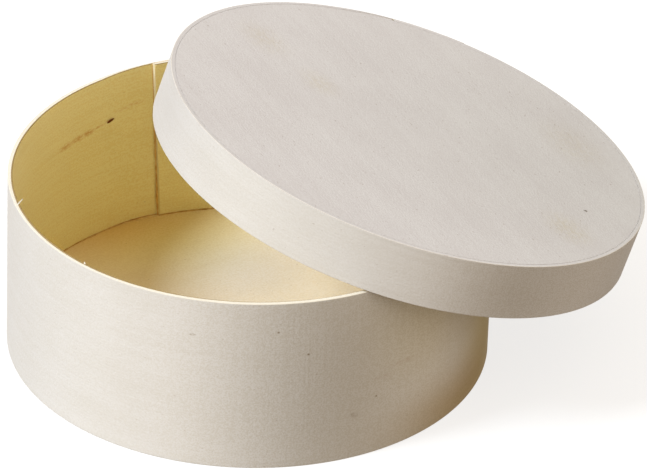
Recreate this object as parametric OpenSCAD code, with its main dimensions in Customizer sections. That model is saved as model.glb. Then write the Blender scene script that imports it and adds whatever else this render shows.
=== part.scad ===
// Round veneer box with a lift-off lid, shown open: the lid leans across the rim.
// Two bent veneer strips, each lapped and glued to itself round a thin wooden disc.
// Millimetres. The origin is the middle of the underside, Z is up,
// and the lid leans down towards +X.

/* [Box] */
// Outside diameter of the box
box_d = 180; // [140:1:240]
// Height of the box, from the underside to the rim
box_h = 70; // [45:0.5:120]
// Thickness of the veneer strip that makes the side
side_t = 1.8; // [1.6:0.1:3]
// Thickness of the base disc
base_t = 2.5; // [2:0.1:6]

/* [Lid] */
// Height of the lid, from its lower edge to its top
lid_h = 22.2; // [16:0.1:32]
// Thickness of the veneer strip round the lid
lid_side_t = 1.5; // [1.5:0.1:3]
// Thickness of the lid's disc
lid_top_t = 3.2; // [2:0.1:6]
// Gap between the lid's strip and the proudest part of the side when the box is shut
lid_gap = 0.5; // [0.1:0.05:1]

/* [Lap joints] */
// Length over which the two ends of a strip overlap
lap_len = 28; // [18:1:40]
// Length over which the outer end of a strip swings in to the round
lap_run_in = 24; // [14:1:40]
// Thickness of a strip's inner end, where the other end steps over it
lap_step = 1.1; // [0.6:0.05:1.4]
// Length of the slanted cut across the inner end
lap_bevel = 0.5; // [0.3:0.1:2]
// How far a lap stands proud of its strip on the outside
lap_proud = 0.4; // [0.25:0.05:0.8]
// Thickness of the glue in a lap
lap_glue_t = 0.1; // [0.05:0.01:0.15]
// Angle of the side's seam from +X, seen from above
side_seam_angle = 102.5; // [0:0.5:359.5]
// Angle of the lid's seam about the lid's own axis
lid_seam_angle = 80; // [0:0.5:359.5]

/* [Disc joints] */
// Gap between a disc's edge and the strip round it, which the glue fills
disc_gap = 0.2; // [0.1:0.05:0.5]
// How far the glue stops short of a disc's two faces
glue_set_back = 0.5; // [0.2:0.1:0.8]

/* [Leaning lid] */
// Distance from the box's axis to the middle of the lid's lower edge
lid_shift = 52.5; // [35:0.5:75]
// Clearance kept where the lid leans on the rim
rest_gap = 0.3; // [0.1:0.05:0.8]

/* [Hidden] */
$fn = 180;

// Colours of the outside of the side, the inside of the box, the lid and the glue
side_colour = [0.87, 0.83, 0.76];
base_colour = [0.85, 0.76, 0.56];
lid_band_colour = [0.88, 0.86, 0.82];
lid_top_colour = [0.84, 0.81, 0.78];
glue_colour = [0.60, 0.44, 0.24];

// Radii of the side and of the lid that goes over it
side_r = box_d / 2;
side_in_r = side_r - side_t;
lid_in_r = side_r + lap_proud + lid_gap;
lid_depth = lid_h - lid_top_t;

// How finely the curved faces of a lap are drawn, and how far a cutter runs past a face
lap_steps = 24;
cut_over = 1;

// The lid leans on three points: its disc on the far side of the rim, and its lower inner
// edge on the rim's outer edge at the two places where these circles cross in plan.
// Cosine of the angle round the lid's lower edge, at a tilt, where it crosses the rim
function crossing(tilt) =
    let (a = -pow(lid_in_r * sin(tilt), 2),
         b = 2 * lid_shift * lid_in_r * cos(tilt),
         c = pow(lid_in_r, 2) + pow(lid_shift, 2) - pow(side_r, 2))
    -2 * c / (b + sqrt(b * b - 4 * a * c));
// Distance along X of the crossings from the box's axis
function crossing_x(tilt) = lid_shift + lid_in_r * crossing(tilt) * cos(tilt);
// The tilt that lays the lid on all three points, found by repeating from a first guess
function lean(tilt, rounds) =
    rounds == 0 ? tilt : lean(asin(lid_depth / (side_r - crossing_x(tilt))), rounds - 1);

first_tilt_angle = 15;
lean_rounds = 40;
lid_tilt = lean(first_tilt_angle, lean_rounds);
lid_z = box_h + rest_gap - lid_depth * cos(lid_tilt)
        - tan(lid_tilt) * (lid_shift - side_r + lid_depth * sin(lid_tilt));

// Angle that an arc of a given length takes up at a radius
function arc(length, r) = length / r * 180 / PI;
// Point at a radius and an angle
function polar(r, angle) = [r * cos(angle), r * sin(angle)];
// Smooth rise from 0 to 1, level at both ends
function ease(u) = u * u * (3 - 2 * u);
// Rise from 0 to 1 that ends level
function swing(u) = sin(90 * u);
// Values from one to another in even steps
function sweep(from, to) = [for (i = [0 : lap_steps]) from + (to - from) * i / lap_steps];
// Angles along the glued stretch, from the seam to just short of the outer end's tip
function glue_angles(r_in) =
    let (tip = arc(lap_len, r_in))
    [for (s = sweep(0, tip)) if (s < tip) s];
// Angles along the outer end, from just after it leaves the round to where its glue stops
function outer_angles(r_in) =
    let (run_in = arc(lap_run_in, r_in))
    concat([for (s = sweep(-run_in, 0)) if (-run_in < s && s < 0) s], glue_angles(r_in));
// A list from its last value to its first
function reverse(list) = [for (i = [len(list) - 1 : -1 : 0]) list[i]];
// Radius of the inner end's outer face at an angle past the seam; it comes out of the round
// just before the outer end's tip, so that the two ends part there
function inner_face(r_in, t, s) =
    r_in + lap_step + (t + lap_glue_t / 2 - lap_step) * ease(s / arc(lap_len, r_in));
// Radius of the outer end's inner face, before and past the seam
function outer_face(r_in, t, s) =
    s < 0 ? r_in + (lap_step + lap_glue_t) * swing(1 + s / arc(lap_run_in, r_in))
          : inner_face(r_in, t, s) + lap_glue_t;
// Radius of the outer end's outside, before and past the seam
function outside(r_in, t, s) =
    r_in + t + lap_proud * (s < 0 ? swing(1 + s / arc(lap_run_in, r_in)) : 1);

// The outer end's thickness outside the round of the strip
module lap_cover(r_in, t, h) {
    tip = arc(lap_len, r_in);
    angles = concat(outer_angles(r_in), tip);
    linear_extrude(h)
        polygon(concat(
            [polar(r_in + t / 2, -arc(lap_run_in, r_in))],
            [for (s = angles) polar(outside(r_in, t, s), s)],
            [for (s = reverse(angles)) polar(r_in + t / 2, s)]));
}

// The space between the two ends: a film over the lap, which opens into the hollow
// that the outer end leaves before the seam, with a slanted cut across the inner end
module lap_slot(r_in, t, h) {
    run_in = arc(lap_run_in, r_in);
    tip = arc(lap_len, r_in);
    past_tip = tip + arc(cut_over, r_in);
    cut = arc(lap_bevel, r_in) * (1 + cut_over / lap_step);
    translate([0, 0, -cut_over])
        linear_extrude(h + 2 * cut_over)
            polygon(concat(
                [polar(r_in - cut_over, cut), polar(r_in - cut_over, -run_in)],
                [for (s = outer_angles(r_in)) polar(outer_face(r_in, t, s), s)],
                [polar(outer_face(r_in, t, tip), past_tip)],
                [polar(inner_face(r_in, t, tip), past_tip)],
                [for (s = reverse(glue_angles(r_in))) polar(inner_face(r_in, t, s), s)]));
}

// A veneer strip bent into a ring; seen from above, its inner end starts at the seam
// and runs clockwise
module strip(r_in, t, h, seam) {
    rotate(seam) mirror([0, 1, 0])
        difference() {
            union() {
                cylinder(r = r_in + t, h = h);
                lap_cover(r_in, t, h);
            }
            translate([0, 0, -cut_over])
                cylinder(r = r_in, h = h + 2 * cut_over);
            lap_slot(r_in, t, h);
        }
}

// The glue between the two ends of a strip
module lap_glue(r_in, t, h, seam) {
    rotate(seam) mirror([0, 1, 0])
        linear_extrude(h)
            polygon(concat(
                [for (s = glue_angles(r_in)) polar(outer_face(r_in, t, s), s)],
                [for (s = reverse(glue_angles(r_in))) polar(inner_face(r_in, t, s), s)]));
}

// A disc that fits inside a strip
module disc(r_in, t) {
    cylinder(r = r_in - disc_gap, h = t);
}

// The glue between a disc's edge and its strip
module glue_ring(r_in, t) {
    translate([0, 0, glue_set_back])
        difference() {
            cylinder(r = r_in, h = t - 2 * glue_set_back);
            translate([0, 0, -cut_over])
                cylinder(r = r_in - disc_gap, h = t + 2 * cut_over);
        }
}

// Carries the lid from its own frame, with the lower edge at zero, to where it leans
module leaning() {
    translate([lid_shift, 0, lid_z]) rotate([0, lid_tilt, 0]) children();
}

module side_band() {
    color(side_colour) strip(side_in_r, side_t, box_h, side_seam_angle);
}

module side_lap_glue() {
    color(glue_colour) lap_glue(side_in_r, side_t, box_h, side_seam_angle);
}

module base_disc() {
    color(base_colour) disc(side_in_r, base_t);
}

module base_glue_ring() {
    color(glue_colour) glue_ring(side_in_r, base_t);
}

module lid_band() {
    color(lid_band_colour) leaning() strip(lid_in_r, lid_side_t, lid_h, lid_seam_angle);
}

module lid_lap_glue() {
    color(glue_colour) leaning() lap_glue(lid_in_r, lid_side_t, lid_h, lid_seam_angle);
}

module lid_disc() {
    color(lid_top_colour) leaning() translate([0, 0, lid_depth]) disc(lid_in_r, lid_top_t);
}

module lid_glue_ring() {
    color(glue_colour) leaning() translate([0, 0, lid_depth]) glue_ring(lid_in_r, lid_top_t);
}

side_band();
side_lap_glue();
base_disc();
base_glue_ring();
lid_band();
lid_lap_glue();
lid_disc();
lid_glue_ring();
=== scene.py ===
"""Looks of a round veneer box: two lapped strips, two boards, dried glue, a knot and raised splinters.

Metres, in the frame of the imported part. The lid's pieces are made upright and then leaned.
Places on the wood are in millimetres of its grain: along and up a strip, or along and across a board.
"""

import math

import bmesh
import bpy
from mathutils import Matrix, Vector, noise


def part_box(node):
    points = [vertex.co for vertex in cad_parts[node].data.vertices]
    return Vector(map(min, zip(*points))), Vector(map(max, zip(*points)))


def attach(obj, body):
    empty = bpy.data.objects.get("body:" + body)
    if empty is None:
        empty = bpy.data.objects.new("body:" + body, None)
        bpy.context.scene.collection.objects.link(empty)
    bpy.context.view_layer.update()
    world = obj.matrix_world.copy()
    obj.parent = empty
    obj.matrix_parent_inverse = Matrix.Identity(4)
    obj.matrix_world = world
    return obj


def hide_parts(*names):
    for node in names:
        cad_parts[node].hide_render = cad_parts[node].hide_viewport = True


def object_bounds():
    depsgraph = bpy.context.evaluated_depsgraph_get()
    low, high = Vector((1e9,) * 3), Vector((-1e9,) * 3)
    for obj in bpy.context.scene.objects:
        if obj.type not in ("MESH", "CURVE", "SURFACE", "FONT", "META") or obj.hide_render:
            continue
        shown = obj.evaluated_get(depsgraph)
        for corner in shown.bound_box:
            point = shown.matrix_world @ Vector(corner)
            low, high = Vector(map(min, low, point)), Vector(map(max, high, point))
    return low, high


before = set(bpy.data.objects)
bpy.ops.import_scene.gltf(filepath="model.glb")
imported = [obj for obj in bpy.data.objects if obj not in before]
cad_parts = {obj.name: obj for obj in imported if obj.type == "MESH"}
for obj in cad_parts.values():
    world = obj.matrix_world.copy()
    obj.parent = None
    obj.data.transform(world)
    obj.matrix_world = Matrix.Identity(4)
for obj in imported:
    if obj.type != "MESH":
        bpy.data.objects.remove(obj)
cad_low, cad_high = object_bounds()

MM = 0.001
TURN = 2 * math.pi

# Veneer strips and their laps
SIDE_T = 1.8 * MM
LID_SIDE_T = 1.5 * MM
DISC_GAP = 0.2 * MM
LAP_LEN = 28 * MM
LAP_RUN_IN = 24 * MM
LAP_STEP = 1.1 * MM
LAP_BEVEL = 0.5 * MM
LAP_PROUD = 0.4 * MM
LAP_GLUE_T = 0.1 * MM
SIDE_SEAM = math.radians(102.5)
LID_SEAM = math.radians(80)
SEAM_LEAN = math.radians(3)
SEAM_PIVOT = 45 * MM

# Rounding of edges, with the most that it may take of a thickness, and how far the outer faces
# lie inside the CAD's
ARRIS = 0.25 * MM
LID_ARRIS = 0.15 * MM
TIGHT_ARRIS = 0.05 * MM
END_ARRIS = 0.25 * MM
MOST_ARRIS = 0.4
FACE_INSET = 0.03 * MM

# Glue: how far it stops short of a board's faces and lies under the lid's top, what share of a lap
# it fills, and how wide it is squeezed out round the base
GLUE_SET_BACK = 0.5 * MM
GLUE_FLUSH = 0.02 * MM
FILM_END = 0.998
BASE_BEAD = 0.5 * MM

# Fineness of the meshes
INNER_END_STEPS = 40
ROUND_STEPS = 420
OUTER_END_STEPS = 72
FINE_STEPS = 8
FINE_DEGREES = 0.09
ARRIS_STEPS = 3
BOARD_SIDES = 360
GLUE_RING_SIDES = 720
ROD_SIDES = 10
FLOOR_SIDES = 64

# Shares of a strip's height and of a board's radius at which their flat faces have points
LEVELS = (0, 0.01, 0.2, 0.4, 0.6, 0.8, 0.99, 1)
BOARD_RINGS = (0.12, 0.4, 0.7, 0.9)
BOARD_EDGE = 1.5 * MM

# Order of a strip's materials
OUT_FACE, IN_FACE, CUT_EDGE, EDGE_LINE, INNER_END = range(5)

# Flaws of the rim and the wall, as azimuths round the box and heights, and the side where painted shade
# darkens the rim's inner edge
RIM_SPLINTER = math.radians(-176.5)
RIM_SLIVER = math.radians(-145)
# Side where the painted shade along the rim's inner edge is widest
RIM_SHADE_SIDE = math.radians(-152)
KNOT = math.radians(115.3)
KNOT_Z = 50.6 * MM

# Directions of the boards' grain in their own planes
LID_GRAIN = math.radians(-72)
BASE_GRAIN = math.radians(20)

# Camera and lights
CAMERA_AT = Vector((-0.4302, -1.9169, 1.2406))
CAMERA_AIM = Vector((0.0283, 0.0016, 0.0400))
CAMERA_ROLL = 0.0361
CAMERA_LENS = 345.23
CAMERA_SENSOR = 36
KEY_AZIMUTH = math.radians(-168.8)
KEY_ELEVATION = math.radians(43.7)
KEY_ANGLE = math.radians(16)
KEY_STRENGTH = 2.97
KEY_COLOUR = (0.81, 0.90, 1.0)
SIDE_LIGHT_AZIMUTH = math.radians(-75)
SIDE_LIGHT_ELEVATION = math.radians(50)
SIDE_LIGHT_ANGLE = math.radians(60)
SIDE_LIGHT_STRENGTH = 0.32
SIDE_LIGHT_COLOUR = (1.0, 0.96, 0.88)
FILL_COLOUR = (0.70, 0.595, 0.475)
WHITE = (1, 1, 1, 1)

# Floor: what it throws back, what it shows, its own glow, its radius and its drop under the box
FLOOR_BOUNCE = (0.20, 0.16, 0.12)
FLOOR_SHOWN = (0.30, 0.30, 0.30)
FLOOR_GLOW = 0.75
FLOOR_REACH = 7.0
FLOOR_DROP = 0.05 * MM


def srgb(red, green, blue):
    """A colour written as 0 to 255, as the linear RGBA that the nodes take."""
    def linear(value):
        share = value / 255
        return share / 12.92 if share <= 0.04045 else ((share + 0.055) / 1.055) ** 2.4
    return (linear(red), linear(green), linear(blue), 1.0)


# Tints of flecks, specks and stains
FLECK = srgb(150, 116, 72)
BROWN = srgb(190, 140, 80)
RUSSET = srgb(214, 150, 66)
GREY = srgb(176, 160, 138)
YELLOW = srgb(240, 232, 206)
DARK_SPECK = srgb(110, 88, 62)
GREYER = (0.87, 0.88, 0.86, 1)

# How strongly each kind of wood shows its parts
VENEER = {"fibre": 0.4, "streak": 0.4, "mottle": 0.7, "speckle": 1.2, "relief": 0.9, "fleck": 0.2}
INSIDE = {"fibre": 2.2, "streak": 0.8, "mottle": 0.8, "speckle": 5.0, "relief": 1.6, "fleck": 0.2}
BOARD = {"fibre": 0.2, "streak": 0.4, "mottle": 0.8, "speckle": 1.6, "relief": 1.3, "fleck": 0.4}
BASE = {"fibre": 0.2, "streak": 0.4, "mottle": 0.8, "speckle": 3.0, "relief": 0.6, "fleck": 0.4}
CUT = {"fibre": 0.5, "streak": 0.5, "mottle": 0.5, "speckle": 1.0, "relief": 0.6, "fleck": 0.3}

# Noises: waves to the millimetre along, across and through the grain, detail, and shift
FIBRE_NOISE = ((0.035, 1.1, 1.1), 3.0, 0.0)
SPECKLE_NOISE = ((1.3, 1.5, 1.5), 3.0, 57.0)
STREAK_NOISE = ((0.012, 0.30, 0.30), 2.0, 7.0)
MOTTLE_NOISE = ((0.04, 0.06, 0.06), 3.0, 19.0)
RIB_NOISE = ((0.60, 0.012, 0.0), 1.0, 43.0)
PIT_NOISE = ((1.9, 1.9, 1.9), 2.0, 71.0)
FLECK_NOISE = ((0.6, 1.2, 1.2), 1.0, 31.0)
BREAK_NOISE = ((0.5, 1.0, 1.0), 3.0, 83.0)
GLUE_NOISE = ((0.4, 1.2, 1.2), 3.0, 0.0)

# How the noises are weighed, and the spans that their values are read over
FIBRE_RELIEF = 0.4
PITS_TO_RIBS = 7
TONE_SPAN = (-0.6, 0.6)
FLECK_SPAN = (0.73, 0.79)
BREAK_SPAN = (0.35, 0.6)
BREAK_SHARES = (0.15, 1.0)
FIBRE_SPAN = (0.2, 0.8)
GLUE_SPAN = (0.3, 0.7)

# Surfaces: roughness from smooth to dull, gloss, and the bump's depth and strength
WOOD_ROUGHNESS = (0.62, 0.78)
GLUE_ROUGHNESS = (0.45, 0.7)
GLOSS = 0.08
WOOD_BUMP = 0.12 * MM
GLUE_BUMP = 0.1 * MM
BUMP_STRENGTH = 0.8
NORMAL_WEIGHT = 80


def ease(u):
    """Smooth rise from 0 to 1, level at both ends."""
    return u * u * (3 - 2 * u)


def spread(start, end, count):
    """Values from start up to but without end, in even steps."""
    return [start + (end - start) * i / count for i in range(count)]


def polar(r, azimuth, z):
    return Vector((r * math.cos(azimuth), r * math.sin(azimuth), z))


class Strip:
    """A veneer strip bent into a ring. s is the angle along it, clockwise from its inner end."""

    def __init__(self, inside, thick, height, seam, arrises, lean=0.0):
        self.inside = inside
        self.thick = thick
        self.height = height
        self.seam = seam
        self.arrises = arrises
        self.lean = lean
        self.run_in = LAP_RUN_IN / inside
        self.tip = LAP_LEN / inside

    def inner_face(self, s):
        """Radius of the inner end's outer face under the lap."""
        rise = self.thick + LAP_GLUE_T / 2 - LAP_STEP
        return self.inside + LAP_STEP + rise * ease(s / self.tip)

    def swing(self, s):
        """How far the outer end has swung in, from 0 to 1, s being counted from the seam."""
        if s <= -self.run_in:
            return 0.0
        return math.sin(math.pi / 2 * min(1.0, 1 + s / self.run_in))

    def inside_at(self, s):
        past = s - TURN
        if past > 0:
            return self.inner_face(past) + LAP_GLUE_T
        return self.inside + (LAP_STEP + LAP_GLUE_T) * self.swing(past)

    def outside_at(self, s):
        round_face = self.inside + self.thick - FACE_INSET
        if s < self.tip:
            return min(self.inner_face(s), round_face)
        return round_face + LAP_PROUD * self.swing(s - TURN)

    def end_shift(self, s, r, z):
        """Angle by which the inner end's slanted, bevelled cut moves a point along the strip."""
        fade = max(0.0, 1 - s / self.tip)
        bevel = LAP_BEVEL / self.inside * (1 - (r - self.inside) / LAP_STEP)
        return fade * (self.slant(z) + bevel)

    def slant(self, z):
        """Angle by which the seam, which isn't quite upright, lies past its middle at a height."""
        return (SEAM_PIVOT - z) * math.tan(self.lean) / self.inside

    def arrises_at(self, s):
        """Rounding of the inner and outer edges, tight where one end lies against the other."""
        inner, outer = self.arrises
        return (TIGHT_ARRIS if s > TURN else inner, TIGHT_ARRIS if s < self.tip else outer)

    def along(self, azimuth):
        """Length along the strip to an azimuth, in millimetres, as the grain counts it."""
        return (self.seam - azimuth) % TURN * self.inside / MM

    def mark(self, degrees, z):
        """A place on the strip's grain, from an azimuth in degrees and a height in millimetres."""
        return (self.along(math.radians(degrees)), z)

    def at(self, s, r, z):
        return polar(r, self.seam - s, z)

    def stations(self, fine_spots=()):
        """Angles along the strip at which it has points, closer together round each fine spot."""
        steps = spread(0, self.tip, INNER_END_STEPS)
        steps += spread(self.tip, TURN - self.run_in, ROUND_STEPS)
        steps += spread(TURN - self.run_in, TURN + self.tip, OUTER_END_STEPS)
        steps.append(TURN + self.tip)
        for azimuth in fine_spots:
            middle = (self.seam - azimuth) % TURN
            around = range(-FINE_STEPS, FINE_STEPS + 1)
            steps += [middle + math.radians(FINE_DEGREES * i) for i in around]
        return sorted(steps)


def quarter(first, last):
    """Angles of a rounded arris, in even steps of degrees."""
    steps = range(ARRIS_STEPS + 1)
    return [math.radians(first + (last - first) * i / ARRIS_STEPS) for i in steps]


def section(inner, outer, low, high, arrises, edge_line=0.5):
    """Rounded rectangle of a strip as (radius, height) points, up the inside and down the outside."""
    e, f = (min(arris, MOST_ARRIS * (outer - inner)) for arris in arrises)
    points = [(inner, low + e + (high - low - 2 * e) * level) for level in LEVELS]
    points += [(inner + e - e * math.cos(a), high - e + e * math.sin(a)) for a in quarter(0, 90)[1:]]
    points.append((inner + e + edge_line * (outer - inner - e - f), high))
    points += [(outer - f + f * math.cos(a), high - f + f * math.sin(a)) for a in quarter(90, 0)[:-1]]
    points += [(outer, high - f - (high - low - 2 * f) * level) for level in LEVELS]
    points += [(outer - f + f * math.cos(a), low + f - f * math.sin(a)) for a in quarter(0, 90)[1:]]
    points += [(inner + e - e * math.cos(a), low + e - e * math.sin(a)) for a in quarter(90, 0)[:-1]]
    return points


def skin(name, rings, grains, materials, kind=None, loop=False, caps=(0, 0)):
    """A mesh over rings of points, closed by its two end rings or joined into a loop."""
    mesh = bmesh.new()
    layer = mesh.verts.layers.float_vector.new("grain")
    made = []
    for ring, grain in zip(rings, grains):
        verts = [mesh.verts.new(point) for point in ring]
        for vert, value in zip(verts, grain):
            vert[layer] = value
        made.append(verts)
    count = len(made[0])
    pairs = list(zip(made, made[1:]))
    if loop:
        pairs.append((made[-1], made[0]))
    for i, (a, b) in enumerate(pairs):
        for j in range(count):
            k = (j + 1) % count
            face = mesh.faces.new((a[j], a[k], b[k], b[j]))
            face.material_index = kind(i, j) if kind else 0
    if not loop:
        for end, index in zip((made[0], made[-1]), caps):
            mesh.faces.new(end).material_index = index
    bmesh.ops.recalc_face_normals(mesh, faces=mesh.faces)
    for face in mesh.faces:
        face.smooth = True
    data = bpy.data.meshes.new(name)
    mesh.to_mesh(data)
    mesh.free()
    for material in materials:
        data.materials.append(material)
    piece = bpy.data.objects.new(name, data)
    bpy.context.scene.collection.objects.link(piece)
    normals = piece.modifiers.new("even_normals", "WEIGHTED_NORMAL")
    normals.weight = NORMAL_WEIGHT
    return piece


def dress(piece, body, slot, *nodes):
    """Puts a piece on its body and hides the nodes it stands for. The slot is not used."""
    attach(piece, body)
    if nodes:
        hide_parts(*nodes)
    return piece


def strip_piece(name, strip, materials, edge_line, rim=None, fine_spots=()):
    """The whole strip from its inner end, once round, to the tip of its outer end.

    The materials are for the outside, the inside, the cut edges, the inner edge line of the top
    and the cut across the inner end.
    """
    rings = []
    grains = []
    for s in strip.stations(fine_spots):
        high = strip.height - (rim(strip.seam - s) if rim else 0)
        faces = strip.inside_at(s), strip.outside_at(s)
        points = section(*faces, 0, high, strip.arrises_at(s), edge_line(strip.seam - s))
        ring = []
        grain = []
        for r, z in points:
            turned = s + strip.end_shift(s, r, z)
            ring.append(strip.at(turned, r, z))
            grain.append((turned * strip.inside / MM, z / MM, (r - strip.inside) / MM))
        rings.append(ring)
        grains.append(grain)
    for end, inner in ((0, 1), (-1, -2)):
        soften_end(rings, end, inner)
    rows = len(LEVELS)
    inner_edge = rows + ARRIS_STEPS
    outer_from = rows + 2 * ARRIS_STEPS + 1

    def kind(i, j):
        if i == 0:
            return INNER_END
        if j < rows - 1:
            return IN_FACE
        if j < inner_edge:
            return EDGE_LINE
        return OUT_FACE if outer_from <= j < outer_from + rows - 1 else CUT_EDGE

    return skin(name, rings, grains, materials, kind, caps=(INNER_END, CUT_EDGE))


def soften_end(rings, end, inner):
    """Draws a strip's end ring in a little, so that the cut has an arris that catches the light."""
    ring = rings[end]
    neighbour = rings[inner]
    middle = sum(ring, Vector()) / len(ring)
    drawn_in = []
    moved_up = []
    for point, next_point in zip(ring, neighbour):
        inwards = middle - point
        inwards.z = 0
        step = min(END_ARRIS, inwards.length / 3)
        drawn_in.append(point + inwards.normalized() * step)
        far = max((next_point - point).length, END_ARRIS)
        moved_up.append(point.lerp(next_point, END_ARRIS / far))
    rings[end] = drawn_in
    rings[inner] = moved_up


def film_piece(name, strip, material):
    """The glue between a strip's two ends."""
    rings = []
    grains = []
    for s in spread(0, strip.tip, INNER_END_STEPS) + [FILM_END * strip.tip]:
        face = strip.inner_face(s)
        ring = []
        grain = []
        for r, z in section(face, face + LAP_GLUE_T, 0, strip.height, (TIGHT_ARRIS, TIGHT_ARRIS)):
            turned = s + strip.end_shift(s, strip.inside + LAP_STEP, z)
            ring.append(strip.at(turned, r, z))
            grain.append((s * strip.inside / MM, z / MM, 0))
        rings.append(ring)
        grains.append(grain)
    return skin(name, rings, grains, [material])


def in_grain(x, y, angle):
    """A point of a board's plane, in millimetres, in its grain's directions."""
    cos, sin = math.cos(angle), math.sin(angle)
    return (x * cos + y * sin, y * cos - x * sin)


def on_base(x, y):
    return in_grain(x, y, BASE_GRAIN)


def on_lid(x, y):
    return in_grain(x, y, LID_GRAIN)


def board_grain(point, angle):
    return (*in_grain(point.x / MM, point.y / MM, angle), point.z / MM)


def board_piece(name, radius, low, high, grain_angle, materials):
    """A thin round board with eased edges; of two materials the second is for the underside."""
    e = TIGHT_ARRIS
    profile = [(radius * share, high) for share in BOARD_RINGS]
    profile.append((radius - BOARD_EDGE, high))
    profile += [(radius - e + e * math.cos(a), high - e + e * math.sin(a)) for a in quarter(90, 0)]
    profile += [(radius - e + e * math.cos(a), low + e - e * math.sin(a)) for a in quarter(0, 90)]
    profile.append((radius - BOARD_EDGE, low))
    profile += [(radius * share, low) for share in reversed(BOARD_RINGS)]
    rings = []
    grains = []
    for r, z in profile:
        ring = [polar(r, TURN * i / BOARD_SIDES, z) for i in range(BOARD_SIDES)]
        rings.append(ring)
        grains.append([board_grain(point, grain_angle) for point in ring])
    under = len(materials) - 1
    half = len(profile) // 2

    def kind(i, j):
        return under if i >= half else 0

    return skin(name, rings, grains, materials, kind, caps=(0, under))


def bead_points(bead, azimuth, outer, high):
    """Section of a ragged line of glue, squeezed up from a board along the strip round it."""
    line_lift = 0.01 * MM
    noise_level = 0.3
    coarse_share, coarse_waves = 0.55, 14
    fine_share, fine_waves = 0.35, 40
    around = Vector((math.cos(azimuth), math.sin(azimuth), noise_level))
    coarse = coarse_share * noise.noise(around * coarse_waves)
    fine = fine_share * noise.noise(around * fine_waves)
    wide = bead * (1 + coarse + fine)
    toe = (outer - wide, high + line_lift)
    middle = (outer - 0.5 * wide, high + 0.3 * wide)
    top = (outer, high + 0.6 * wide)
    return [toe, middle, top]


def ring_piece(name, strip, low, high, grain_angle, materials, bead=0.0):
    """Glue round a board's edge, out to the strip, with a bead of a given width or flat.

    Of two materials the second is for the top and the outer face.
    """
    rings = []
    grains = []
    inner = strip.inside - DISC_GAP
    for i in range(GLUE_RING_SIDES):
        azimuth = TURN * i / GLUE_RING_SIDES
        s = (strip.seam - azimuth) % TURN
        if s < strip.slant(high):
            s += TURN
        outer = strip.inside_at(s)
        points = [(inner, low), (inner, high)]
        points += bead_points(bead, azimuth, outer, high) if bead else [(outer, high)]
        points.append((outer, low))
        ring = [polar(r, azimuth, z) for r, z in points]
        rings.append(ring)
        grains.append([board_grain(point, grain_angle) for point in ring])

    def kind(i, j):
        return len(materials) - 1 if j > 1 else 0

    return skin(name, rings, grains, materials, kind, loop=True)


def rod_piece(name, path, wides, thicks, out, material):
    """A tapering rod of oval section along a path; out is the direction of its thickness."""
    grain_step = 0.3
    rings = []
    grains = []
    length = 0.0
    for i, point in enumerate(path):
        ahead = path[min(i + 1, len(path) - 1)] - path[max(i - 1, 0)]
        across = ahead.cross(out).normalized()
        ring = []
        for j in range(ROD_SIDES):
            a = TURN * j / ROD_SIDES
            ring.append(point + across * wides[i] * math.cos(a) + out * thicks[i] * math.sin(a))
        rings.append(ring)
        grains.append([(length / MM, j * grain_step, 0) for j in range(ROD_SIDES)])
        if i + 1 < len(path):
            length += (path[i + 1] - point).length
    return skin(name, rings, grains, [material])


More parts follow.
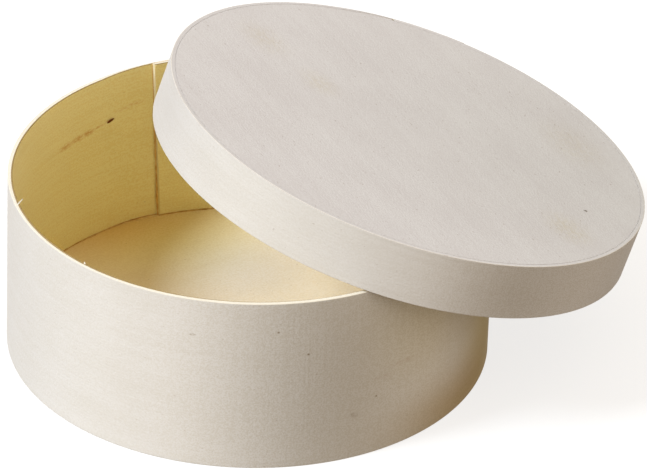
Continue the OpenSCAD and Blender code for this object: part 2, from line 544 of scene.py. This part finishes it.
class Nodes:
    """A material's node tree, built in short calls. Grain coordinates are in millimetres."""

    def __init__(self, name):
        self.material = bpy.data.materials.new(name)
        self.material.use_nodes = True
        self.tree = self.material.node_tree
        self.tree.nodes.clear()
        self.grain = self.add("ShaderNodeAttribute", attribute_name="grain").outputs["Vector"]

    def add(self, kind, inputs=None, **settings):
        node = self.tree.nodes.new(kind)
        for key, value in settings.items():
            setattr(node, key, value)
        for key, value in (inputs or {}).items():
            if isinstance(value, bpy.types.NodeSocket):
                self.tree.links.new(value, node.inputs[key])
            else:
                node.inputs[key].default_value = value
        return node

    def math(self, operation, a, b=0.0):
        return self.add("ShaderNodeMath", {0: a, 1: b}, operation=operation).outputs[0]

    def vector_math(self, operation, a, b=(0, 0, 0)):
        return self.add("ShaderNodeVectorMath", {0: a, 1: b}, operation=operation)

    def noise(self, waves, detail, shift):
        """Noise with so many waves to the millimetre along, across and through the grain."""
        scaled = self.vector_math("MULTIPLY", self.grain, waves).outputs[0]
        moved = self.vector_math("ADD", scaled, (shift, shift, shift)).outputs[0]
        inputs = {"Vector": moved, "Scale": 1.0, "Detail": detail}
        return self.add("ShaderNodeTexNoise", inputs).outputs["Fac"]

    def total(self, *layers):
        """The sum of noises about zero, each with its weight."""
        parts = []
        for layer, weight in layers:
            about_zero = self.math("SUBTRACT", layer, 0.5)
            parts.append(self.math("MULTIPLY", about_zero, weight))
        made = parts[0]
        for part in parts[1:]:
            made = self.math("ADD", made, part)
        return made

    def span(self, value, low, high, start=0.0, end=1.0):
        """A value between low and high brought to start and end, and held there outside."""
        inputs = {"Value": value, 1: low, 2: high, 3: start, 4: end}
        return self.add("ShaderNodeMapRange", inputs, interpolation_type="SMOOTHSTEP").outputs["Result"]

    def spot(self, middle, reach):
        """1 in the middle of an oval of the grain's plane, 0 at its edge."""
        moved = self.vector_math("SUBTRACT", self.grain, (*middle, 0)).outputs[0]
        scaled = self.vector_math("MULTIPLY", moved, (1 / reach[0], 1 / reach[1], 0)).outputs[0]
        far = self.vector_math("LENGTH", scaled).outputs["Value"]
        return self.span(far, 0.0, 1.0, 1.0, 0.0)

    def mix(self, share, a, b, blend="MIX"):
        inputs = {"Factor": share, 6: a, 7: b}
        return self.add("ShaderNodeMix", inputs, data_type="RGBA", blend_type=blend).outputs[2]

    def stain(self, colour, share, tint):
        """A colour multiplied by a tint, as far as share says."""
        return self.mix(share, colour, tint, "MULTIPLY")

    def finish(self, colour, height, roughness, depth):
        bump_inputs = {"Height": height, "Distance": depth, "Strength": BUMP_STRENGTH}
        bump = self.add("ShaderNodeBump", bump_inputs)
        inputs = {
            "Base Color": colour,
            "Roughness": roughness,
            "Specular IOR Level": GLOSS,
            "Normal": bump.outputs["Normal"],
        }
        shader = self.add("ShaderNodeBsdfPrincipled", inputs)
        self.add("ShaderNodeOutputMaterial", {"Surface": shader.outputs["BSDF"]})
        return self.material


def wood(name, pale, dark, look, tones=(), stains=(), chatter=()):
    """Bare wood: fibres and streaks along the grain, mottle, speckle and flecks.

    A tone is an oval in another tint, given by middle, reach and tint. A stain is a broken one, with
    its strength before its tint. Chatter, with its weight, is an oval of cutter's ribs and torn pits.
    """
    n = Nodes(name)
    fibre = n.noise(*FIBRE_NOISE)
    speckle = n.noise(*SPECKLE_NOISE)
    streak = n.noise(*STREAK_NOISE)
    mottle = n.noise(*MOTTLE_NOISE)
    tone = n.total(
        (fibre, look["fibre"]),
        (streak, look["streak"]),
        (mottle, look["mottle"]),
        (speckle, look["speckle"]),
    )
    height = n.total((fibre, FIBRE_RELIEF), (speckle, look["relief"]))
    for middle, reach, weight in chatter:
        place = n.spot(middle, reach)
        ribs = n.math("MULTIPLY", n.total((n.noise(*RIB_NOISE), weight)), place)
        pits = n.math("MULTIPLY", n.total((n.noise(*PIT_NOISE), PITS_TO_RIBS * weight)), place)
        tone = n.math("ADD", n.math("ADD", tone, ribs), pits)
        height = n.math("ADD", height, ribs)
    colour = n.mix(n.span(tone, *TONE_SPAN), pale, dark)
    fleck = n.span(n.noise(*FLECK_NOISE), *FLECK_SPAN, 0.0, look["fleck"])
    colour = n.stain(colour, fleck, FLECK)
    for middle, reach, tint in tones:
        colour = n.stain(colour, n.spot(middle, reach), tint)
    broken = n.span(n.noise(*BREAK_NOISE), *BREAK_SPAN, *BREAK_SHARES)
    for middle, reach, strength, tint in stains:
        share = n.math("MULTIPLY", n.spot(middle, reach), strength)
        colour = n.stain(colour, n.math("MULTIPLY", share, broken), tint)
    roughness = n.span(fibre, *FIBRE_SPAN, *WOOD_ROUGHNESS)
    return n.finish(colour, height, roughness, WOOD_BUMP)


def dried_glue(name, pale, dark):
    """Dried wood glue: uneven in colour, with a dull gloss."""
    n = Nodes(name)
    cloud = n.noise(*GLUE_NOISE)
    colour = n.mix(n.span(cloud, *GLUE_SPAN), pale, dark)
    roughness = n.span(cloud, *GLUE_SPAN, *GLUE_ROUGHNESS)
    return n.finish(colour, cloud, roughness, GLUE_BUMP)


def camera():
    data = bpy.data.cameras.new("camera")
    data.lens = CAMERA_LENS
    data.sensor_width = CAMERA_SENSOR
    made = bpy.data.objects.new("camera", data)
    bpy.context.scene.collection.objects.link(made)
    made.location = CAMERA_AT
    aim = (CAMERA_AIM - CAMERA_AT).to_track_quat("-Z", "Y").to_matrix()
    turn = aim @ Matrix.Rotation(CAMERA_ROLL, 3, "Z")
    made.rotation_euler = turn.to_euler()
    bpy.context.scene.camera = made


def far_light(name, azimuth, elevation, angle, strength, colour):
    data = bpy.data.lights.new(name, "SUN")
    data.energy = strength
    data.color = colour
    data.angle = angle
    made = bpy.data.objects.new(name, data)
    bpy.context.scene.collection.objects.link(made)
    towards = polar(math.cos(elevation), azimuth, math.sin(elevation))
    made.rotation_euler = towards.to_track_quat("Z", "Y").to_euler()


def lights():
    far_light("key", KEY_AZIMUTH, KEY_ELEVATION, KEY_ANGLE, KEY_STRENGTH, KEY_COLOUR)
    far_light(
        "side_light", SIDE_LIGHT_AZIMUTH, SIDE_LIGHT_ELEVATION,
        SIDE_LIGHT_ANGLE, SIDE_LIGHT_STRENGTH, SIDE_LIGHT_COLOUR,
    )


def seen_rays(tree):
    """1 on rays that show a background: from the camera, a gloss or a clear surface."""
    path = tree.nodes.new("ShaderNodeLightPath")
    share = path.outputs["Is Camera Ray"]
    for name in ("Is Glossy Ray", "Is Transmission Ray"):
        either = tree.nodes.new("ShaderNodeMath")
        either.operation = "MAXIMUM"
        tree.links.new(share, either.inputs[0])
        tree.links.new(path.outputs[name], either.inputs[1])
        share = either.outputs[0]
    return share


def surroundings():
    """A warm fill from all round, which shows as white."""
    world = bpy.data.worlds.new("studio")
    world.use_nodes = True
    tree = world.node_tree
    tree.nodes.clear()
    fill = tree.nodes.new("ShaderNodeBackground")
    fill.inputs["Color"].default_value = (*FILL_COLOUR, 1)
    shown = tree.nodes.new("ShaderNodeBackground")
    shown.inputs["Color"].default_value = WHITE
    both = tree.nodes.new("ShaderNodeMixShader")
    tree.links.new(seen_rays(tree), both.inputs[0])
    tree.links.new(fill.outputs[0], both.inputs[1])
    tree.links.new(shown.outputs[0], both.inputs[2])
    out = tree.nodes.new("ShaderNodeOutputWorld")
    tree.links.new(both.outputs[0], out.inputs["Surface"])
    bpy.context.scene.world = world
    bpy.context.scene.view_settings.view_transform = "Standard"


def floor():
    """A pale floor that throws a little warm light back at the part."""
    n = Nodes("floor")
    bounce = n.add("ShaderNodeBsdfDiffuse", {"Color": (*FLOOR_BOUNCE, 1)})
    shown = n.add("ShaderNodeBsdfDiffuse", {"Color": (*FLOOR_SHOWN, 1)})
    glow = n.add("ShaderNodeEmission", {"Color": WHITE, "Strength": FLOOR_GLOW})
    pale = n.add("ShaderNodeAddShader", {0: shown.outputs[0], 1: glow.outputs[0]})
    inputs = {0: seen_rays(n.tree), 1: bounce.outputs[0], 2: pale.outputs[0]}
    both = n.add("ShaderNodeMixShader", inputs)
    n.add("ShaderNodeOutputMaterial", {"Surface": both.outputs[0]})
    data = bpy.data.meshes.new("floor")
    mesh = bmesh.new()
    bmesh.ops.create_circle(mesh, cap_ends=True, segments=FLOOR_SIDES, radius=FLOOR_REACH)
    mesh.to_mesh(data)
    mesh.free()
    data.materials.append(n.material)
    made = bpy.data.objects.new("floor", data)
    made.location.z = cad_low.z - FLOOR_DROP
    bpy.context.scene.collection.objects.link(made)


def rim_dip(azimuth):
    """How far the rim lies under its full height: a slight waviness, and a nick by the splinter."""
    wave_depth = 0.05 * MM
    waves = 2.5
    nick_depth = 0.5 * MM
    nick_width = math.radians(0.28)
    around = Vector((math.cos(azimuth), math.sin(azimuth), 0))
    wave = wave_depth * (1 + noise.noise(around * waves))
    off = (azimuth - RIM_SPLINTER + math.pi) % TURN - math.pi
    return wave + nick_depth * math.exp(-((off / nick_width) ** 2))


def rim_shade_line(azimuth):
    """Share of the rim's width that the darker line of painted shade along its inner edge takes, widest at
    the shaded side.
    """
    least = 0.06
    more = 0.46
    fall_off = 4
    return least + more * max(0.0, math.cos(azimuth - RIM_SHADE_SIDE)) ** fall_off


def lid_line(azimuth):
    """Share of the lid strip's width that has the lid's own grey."""
    return 0.9


def side_outside(strip):
    """The wall's outside: painted shade greys it in front and at the left, painted golden-brown shade lies
    low on the right and painted warm bounce light under the lid, with a few specks.
    """
    tones = [
        # Painted shade greying the front of the wall
        (strip.mark(-84.5, 35), (60, 150), (0.71, 0.71, 0.71, 1)),
        # Painted shade greying the left of the wall
        (strip.mark(-178, 35), (70, 150), (0.88, 0.88, 0.89, 1)),
        # Painted golden-brown shade and warm bounce light at the foot on the right
        (strip.mark(-42, 2), (58, 28), (0.66, 0.54, 0.36, 1)),
        # Painted brown shade along the right end of the wall
        (strip.mark(-25, 30), (36, 110), (0.88, 0.78, 0.50, 1)),
        # Painted warm bounce light just under the lid's overhang
        (strip.mark(-55, 52), (40, 40), (1.0, 0.97, 0.86, 1)),
    ]
    specks = [
        (strip.mark(-95.5, 57.9), (0.7, 0.7), 1.0, GREY),
        (strip.mark(-88.4, 47.7), (0.7, 0.7), 1.3, GREY),
        (strip.mark(-115.2, 55.1), (1.6, 0.7), 1.6, GREY),
        (strip.mark(-76.6, 18.5), (2.2, 1.4), 1.0, GREY),
        (strip.mark(-71, 24.2), (0.7, 0.7), 2.0, GREY),
        (strip.mark(-64, 35), (9, 1.6), 0.2, BROWN),
        (strip.mark(-69, 31.5), (7, 1.4), 0.2, BROWN),
    ]
    chatter = [(strip.mark(-80, 35), (100, 150), 0.9)]
    pale, dark = srgb(243, 241, 237), srgb(232, 228, 219)
    return wood("side_outside", pale, dark, VENEER, tones, specks, chatter)


def side_inside(strip):
    """The wall's inside: golden round the seam, partly the wood's own colour and partly painted warm bounce
    light in the box's shaded back, quieter opposite, with russet streaks beside the knot.
    """
    along, middle = strip.mark(115, 35)
    once_round = TURN * strip.inside / MM
    # The gold tint is partly the wood's own yellow and partly painted warm bounce light
    gold = (1.0, 0.955, 0.62, 1)
    tones = [
        ((along, middle), (200, 200), gold),
        ((along - once_round, middle), (200, 200), gold),
        (strip.mark(5, 35), (130, 200), (0.80, 0.78, 0.78, 1)),
    ]
    streaks = [
        (strip.mark(119, 49.9), (4, 0.8), 0.6, RUSSET),
        (strip.mark(122.5, 49.2), (5, 1.8), 0.7, RUSSET),
        (strip.mark(126, 48.7), (5, 2.0), 0.65, RUSSET),
        (strip.mark(130.5, 48.3), (7, 2.2), 0.5, RUSSET),
        (strip.mark(111.5, 53.4), (6, 1.3), 0.3, RUSSET),
        (strip.mark(108, 54.4), (6, 1.3), 0.3, RUSSET),
        ((strip.along(KNOT), KNOT_Z / MM), (3.4, 1.4), 0.6, BROWN),
    ]
    pale, dark = srgb(255, 247, 214), srgb(249, 236, 192)
    return wood("side_inside", pale, dark, INSIDE, tones, streaks)


def side_end():
    """The cut across the strip's inner end: pale at the top, where the light catches it, and golden below,
    partly the wood's colour and partly painted warm shade.
    """
    # Painted warm shade towards the foot of the seam, fading to pale at the lit top
    tones = [((0, 5), (200, 55), (1.0, 0.93, 0.58, 1))]
    return wood("side_end", srgb(240, 231, 197), srgb(233, 222, 186), CUT, tones)


def base_top():
    """The base board: painted golden shade and warm bounce light at the back, by the wall, and cooler
    towards the middle.
    """
    tones = [
        # Painted shade, darker and golden, in the corner by the back wall
        (on_base(-46, 92), (76, 42), (0.80, 0.58, 0.24, 1)),
        # Painted warm bounce light in the floor's shaded part
        (on_base(-20, 72), (70, 52), (1.0, 0.96, 0.62, 1)),
        (on_base(3, 48), (46, 46), (0.82, 0.86, 1.0, 1)),
    ]
    return wood("base_board", srgb(247, 234, 210), srgb(239, 223, 192), BASE, tones)


def box_pieces():
    glue = dried_glue("glue", srgb(236, 198, 122), srgb(206, 156, 82))
    disc_low, disc_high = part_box("base_disc")
    inside = round((disc_high.y - disc_low.y) / 2 / MM, 1) * MM + DISC_GAP
    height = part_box("side_band")[1].z
    base_t = disc_high.z
    strip = Strip(inside, SIDE_T, height, SIDE_SEAM, (ARRIS, ARRIS), SEAM_LEAN)
    rim = wood("side_rim", srgb(233, 229, 216), srgb(223, 217, 202), CUT)
    # The darker line along the rim's inner edge is painted shade
    line = wood("side_rim_shade_line", srgb(172, 150, 106), srgb(146, 124, 82), CUT)
    faces = [side_outside(strip), side_inside(strip), rim, line, side_end()]
    side = strip_piece("side_strip", strip, faces, rim_shade_line, rim_dip, (RIM_SPLINTER,))
    dress(side, "box", "side_veneer", "side_band")
    dress(film_piece("side_glue_film", strip, glue), "box", "glue", "side_lap_glue")
    board = base_top()
    base = board_piece("base_board", inside - DISC_GAP, 0, base_t, BASE_GRAIN, [board])
    dress(base, "box", "base_wood", "base_disc")
    joint = dried_glue("base_joint", srgb(224, 182, 112), srgb(196, 144, 78))
    both = [board, joint]
    ring = ring_piece("base_glue_bead", strip, GLUE_SET_BACK, base_t, BASE_GRAIN, both, BASE_BEAD)
    dress(ring, "box", "glue", "base_glue_ring")
    seam_bead(strip, base_t, glue)
    knot(strip)
    splinter(strip, rim, "rim_splinter", RIM_SPLINTER, (1.1, -1.6), (-2.1, 2.6))
    splinter(strip, rim, "rim_sliver", RIM_SLIVER, (0.5, -0.8), (-0.9, 0.6))


def seam_bead(strip, low, glue):
    """Glue squeezed out along the foot of the side's seam, thinning out upwards."""
    steps = 60
    top = 0.72 * strip.height
    aside = 0.1 * MM
    deep = 0.65 * MM
    widest = 0.42 * MM
    flatness = 0.7
    raggedness = 0.7
    waves = 0.35
    taper = 0.8
    path = []
    wides = []
    for i in range(steps + 1):
        z = low + (top - low) * i / steps
        path.append(strip.at(strip.slant(z) - aside / strip.inside, strip.inside + deep, z))
        ragged = 1 + raggedness * noise.noise(Vector((0.4, 0.8, z / MM * waves)))
        thinner = 1 - taper * (i / steps) ** 2
        wides.append(widest * ragged * thinner)
    thicks = [flatness * wide for wide in wides]
    out = polar(1, strip.seam, 0)
    dress(rod_piece("side_seam_bead", path, wides, thicks, out, glue), "box", "glue")


def knot(strip):
    """A small dark knot in the wall, a little askew."""
    steps = 12
    half_length = 1.6 * MM
    half_rise = 0.55 * MM
    half_width = 0.55 * MM
    half_depth = 0.12 * MM
    least_swell = 0.02
    dark = wood("knot", srgb(140, 84, 40), srgb(90, 50, 22), CUT)
    path = []
    wides = []
    thicks = []
    for i in range(steps + 1):
        t = 2 * i / steps - 1
        s = strip.seam - KNOT + half_length * t / strip.inside
        path.append(strip.at(s, strip.inside, KNOT_Z + half_rise * t))
        swell = math.sqrt(max(least_swell, 1 - t * t))
        wides.append(half_width * swell)
        thicks.append(half_depth * swell)
    piece = rod_piece("wall_knot", path, wides, thicks, -polar(1, KNOT, 0), dark)
    dress(piece, "box", "side_veneer")


def splinter(strip, material, name, azimuth, start, end):
    """A fibre raised from the rim, leaning in over the box.

    Its start and end are millimetres out from the strip's inside and along the rim.
    """
    steps = 10
    sunk = 0.16 * MM
    widest = 0.34 * MM
    least = 0.06 * MM
    flatness = 0.6
    taper = 0.6
    path = []
    wides = []
    for i in range(steps + 1):
        t = i / steps
        deep = (start[0] + (end[0] - start[0]) * t) * MM
        aside = (start[1] + (end[1] - start[1]) * t) * MM
        path.append(polar(strip.inside + deep, azimuth - aside / strip.inside, strip.height - sunk))
        wides.append(widest * (1 - t) ** taper + least)
    thicks = [flatness * wide for wide in wides]
    piece = rod_piece(name, path, wides, thicks, Vector((0, 0, 1)), material)
    dress(piece, "box", "side_veneer")


def lid_place():
    """Where the lid leans, and its size.

    Gives the turn and shift that take it from upright, with its lower edge at zero, and then its
    height, the thickness of its disc and the disc's radius.
    """
    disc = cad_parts["lid_disc"].data
    top = max(disc.polygons, key=lambda face: face.normal.z * face.area)
    lean = Matrix.Rotation(math.atan2(top.normal.x, top.normal.z), 4, "Y")
    upright = [lean.inverted() @ v.co for v in disc.vertices]
    edge = [lean.inverted() @ v.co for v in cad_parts["lid_band"].data.vertices]
    xs = [p.x for p in upright]
    ys = [p.y for p in upright]
    base = Vector(((min(xs) + max(xs)) / 2, (min(ys) + max(ys)) / 2, min(p.z for p in edge)))
    height = max(p.z for p in edge) - base.z
    thick = max(p.z for p in upright) - min(p.z for p in upright)
    radius = (max(ys) - min(ys)) / 2
    return lean @ Matrix.Translation(base), height, thick, radius


def lid_outside(strip):
    """The outside of the lid's strip: painted shade greys it at its high end and in front, a warm tint over
    its left and front stands in for cooler light at its right end, ribbed at the front right.
    """
    tones = [
        # Painted shade at the lid's high end
        (strip.mark(180, 11), (62, 60), (0.88, 0.88, 0.90, 1)),
        # Painted shade in front of the lid
        (strip.mark(-76, 11), (39, 60), (0.85, 0.85, 0.85, 1)),
        # Painted light colour: warmer over the left and front, so the right end shows cooler light
        (strip.mark(-150, 11), (207, 100), (0.97, 0.955, 0.91, 1)),
    ]
    chatter = [(strip.mark(-58, 11), (80, 60), 1.4)]
    pale, dark = srgb(226, 225, 225), srgb(215, 212, 208)
    return wood("lid_outside", pale, dark, VENEER, tones, chatter=chatter)


def lid_top(pale, dark):
    """The lid's board: weathered grey, with yellowish blotches and one dark speck."""
    blotches = [
        (on_lid(50, -54), (16, 12), 0.5, YELLOW),
        (on_lid(-46, 53), (18, 12), 0.35, YELLOW),
        (on_lid(-30, 25), (14, 10), 0.35, YELLOW),
        (on_lid(70, 14), (24, 17), 0.3, YELLOW),
        (on_lid(61.3, -37.5), (0.9, 0.9), 4.0, DARK_SPECK),
    ]
    tones = [(on_lid(95, -10), (190, 190), GREYER)]
    return wood("lid_board", pale, dark, BOARD, tones, blotches)


def lid_pieces():
    place, height, top_t, radius = lid_place()
    inside = round(radius / MM, 1) * MM + DISC_GAP
    strip = Strip(inside, LID_SIDE_T, height, LID_SEAM, (TIGHT_ARRIS, LID_ARRIS))
    within = wood("lid_inside", srgb(250, 240, 205), srgb(244, 230, 186), INSIDE)
    edge_tones = [(strip.mark(-6, height / MM), (165, 60), GREYER)]
    edge = wood("lid_edge", srgb(222, 218, 212), srgb(212, 207, 200), CUT, edge_tones)
    pale, dark = srgb(212, 211, 212), srgb(201, 198, 199)
    top_edge = wood("lid_top_edge", pale, dark, CUT, edge_tones)
    under = wood("lid_under", srgb(250, 241, 212), srgb(243, 229, 192), BOARD)
    joint = dried_glue("lid_joint", srgb(214, 211, 210), srgb(204, 200, 197))
    faces = [lid_outside(strip), within, edge, top_edge, edge]
    boards = [lid_top(pale, dark), under]
    depth = height - top_t
    glue_low = depth + GLUE_SET_BACK
    glue_high = height - GLUE_FLUSH
    band = strip_piece("lid_strip", strip, faces, lid_line)
    film = film_piece("lid_glue_film", strip, joint)
    board = board_piece("lid_board", radius, depth, height, LID_GRAIN, boards)
    ring = ring_piece("lid_glue_ring_line", strip, glue_low, glue_high, LID_GRAIN, [joint])
    for piece, slot, node in (
        (band, "lid_veneer", "lid_band"),
        (film, "glue", "lid_lap_glue"),
        (board, "lid_wood", "lid_disc"),
        (ring, "glue", "lid_glue_ring"),
    ):
        piece.data.transform(place)
        dress(piece, "lid", slot, node)


camera()
lights()
surroundings()
floor()
box_pieces()
lid_pieces()
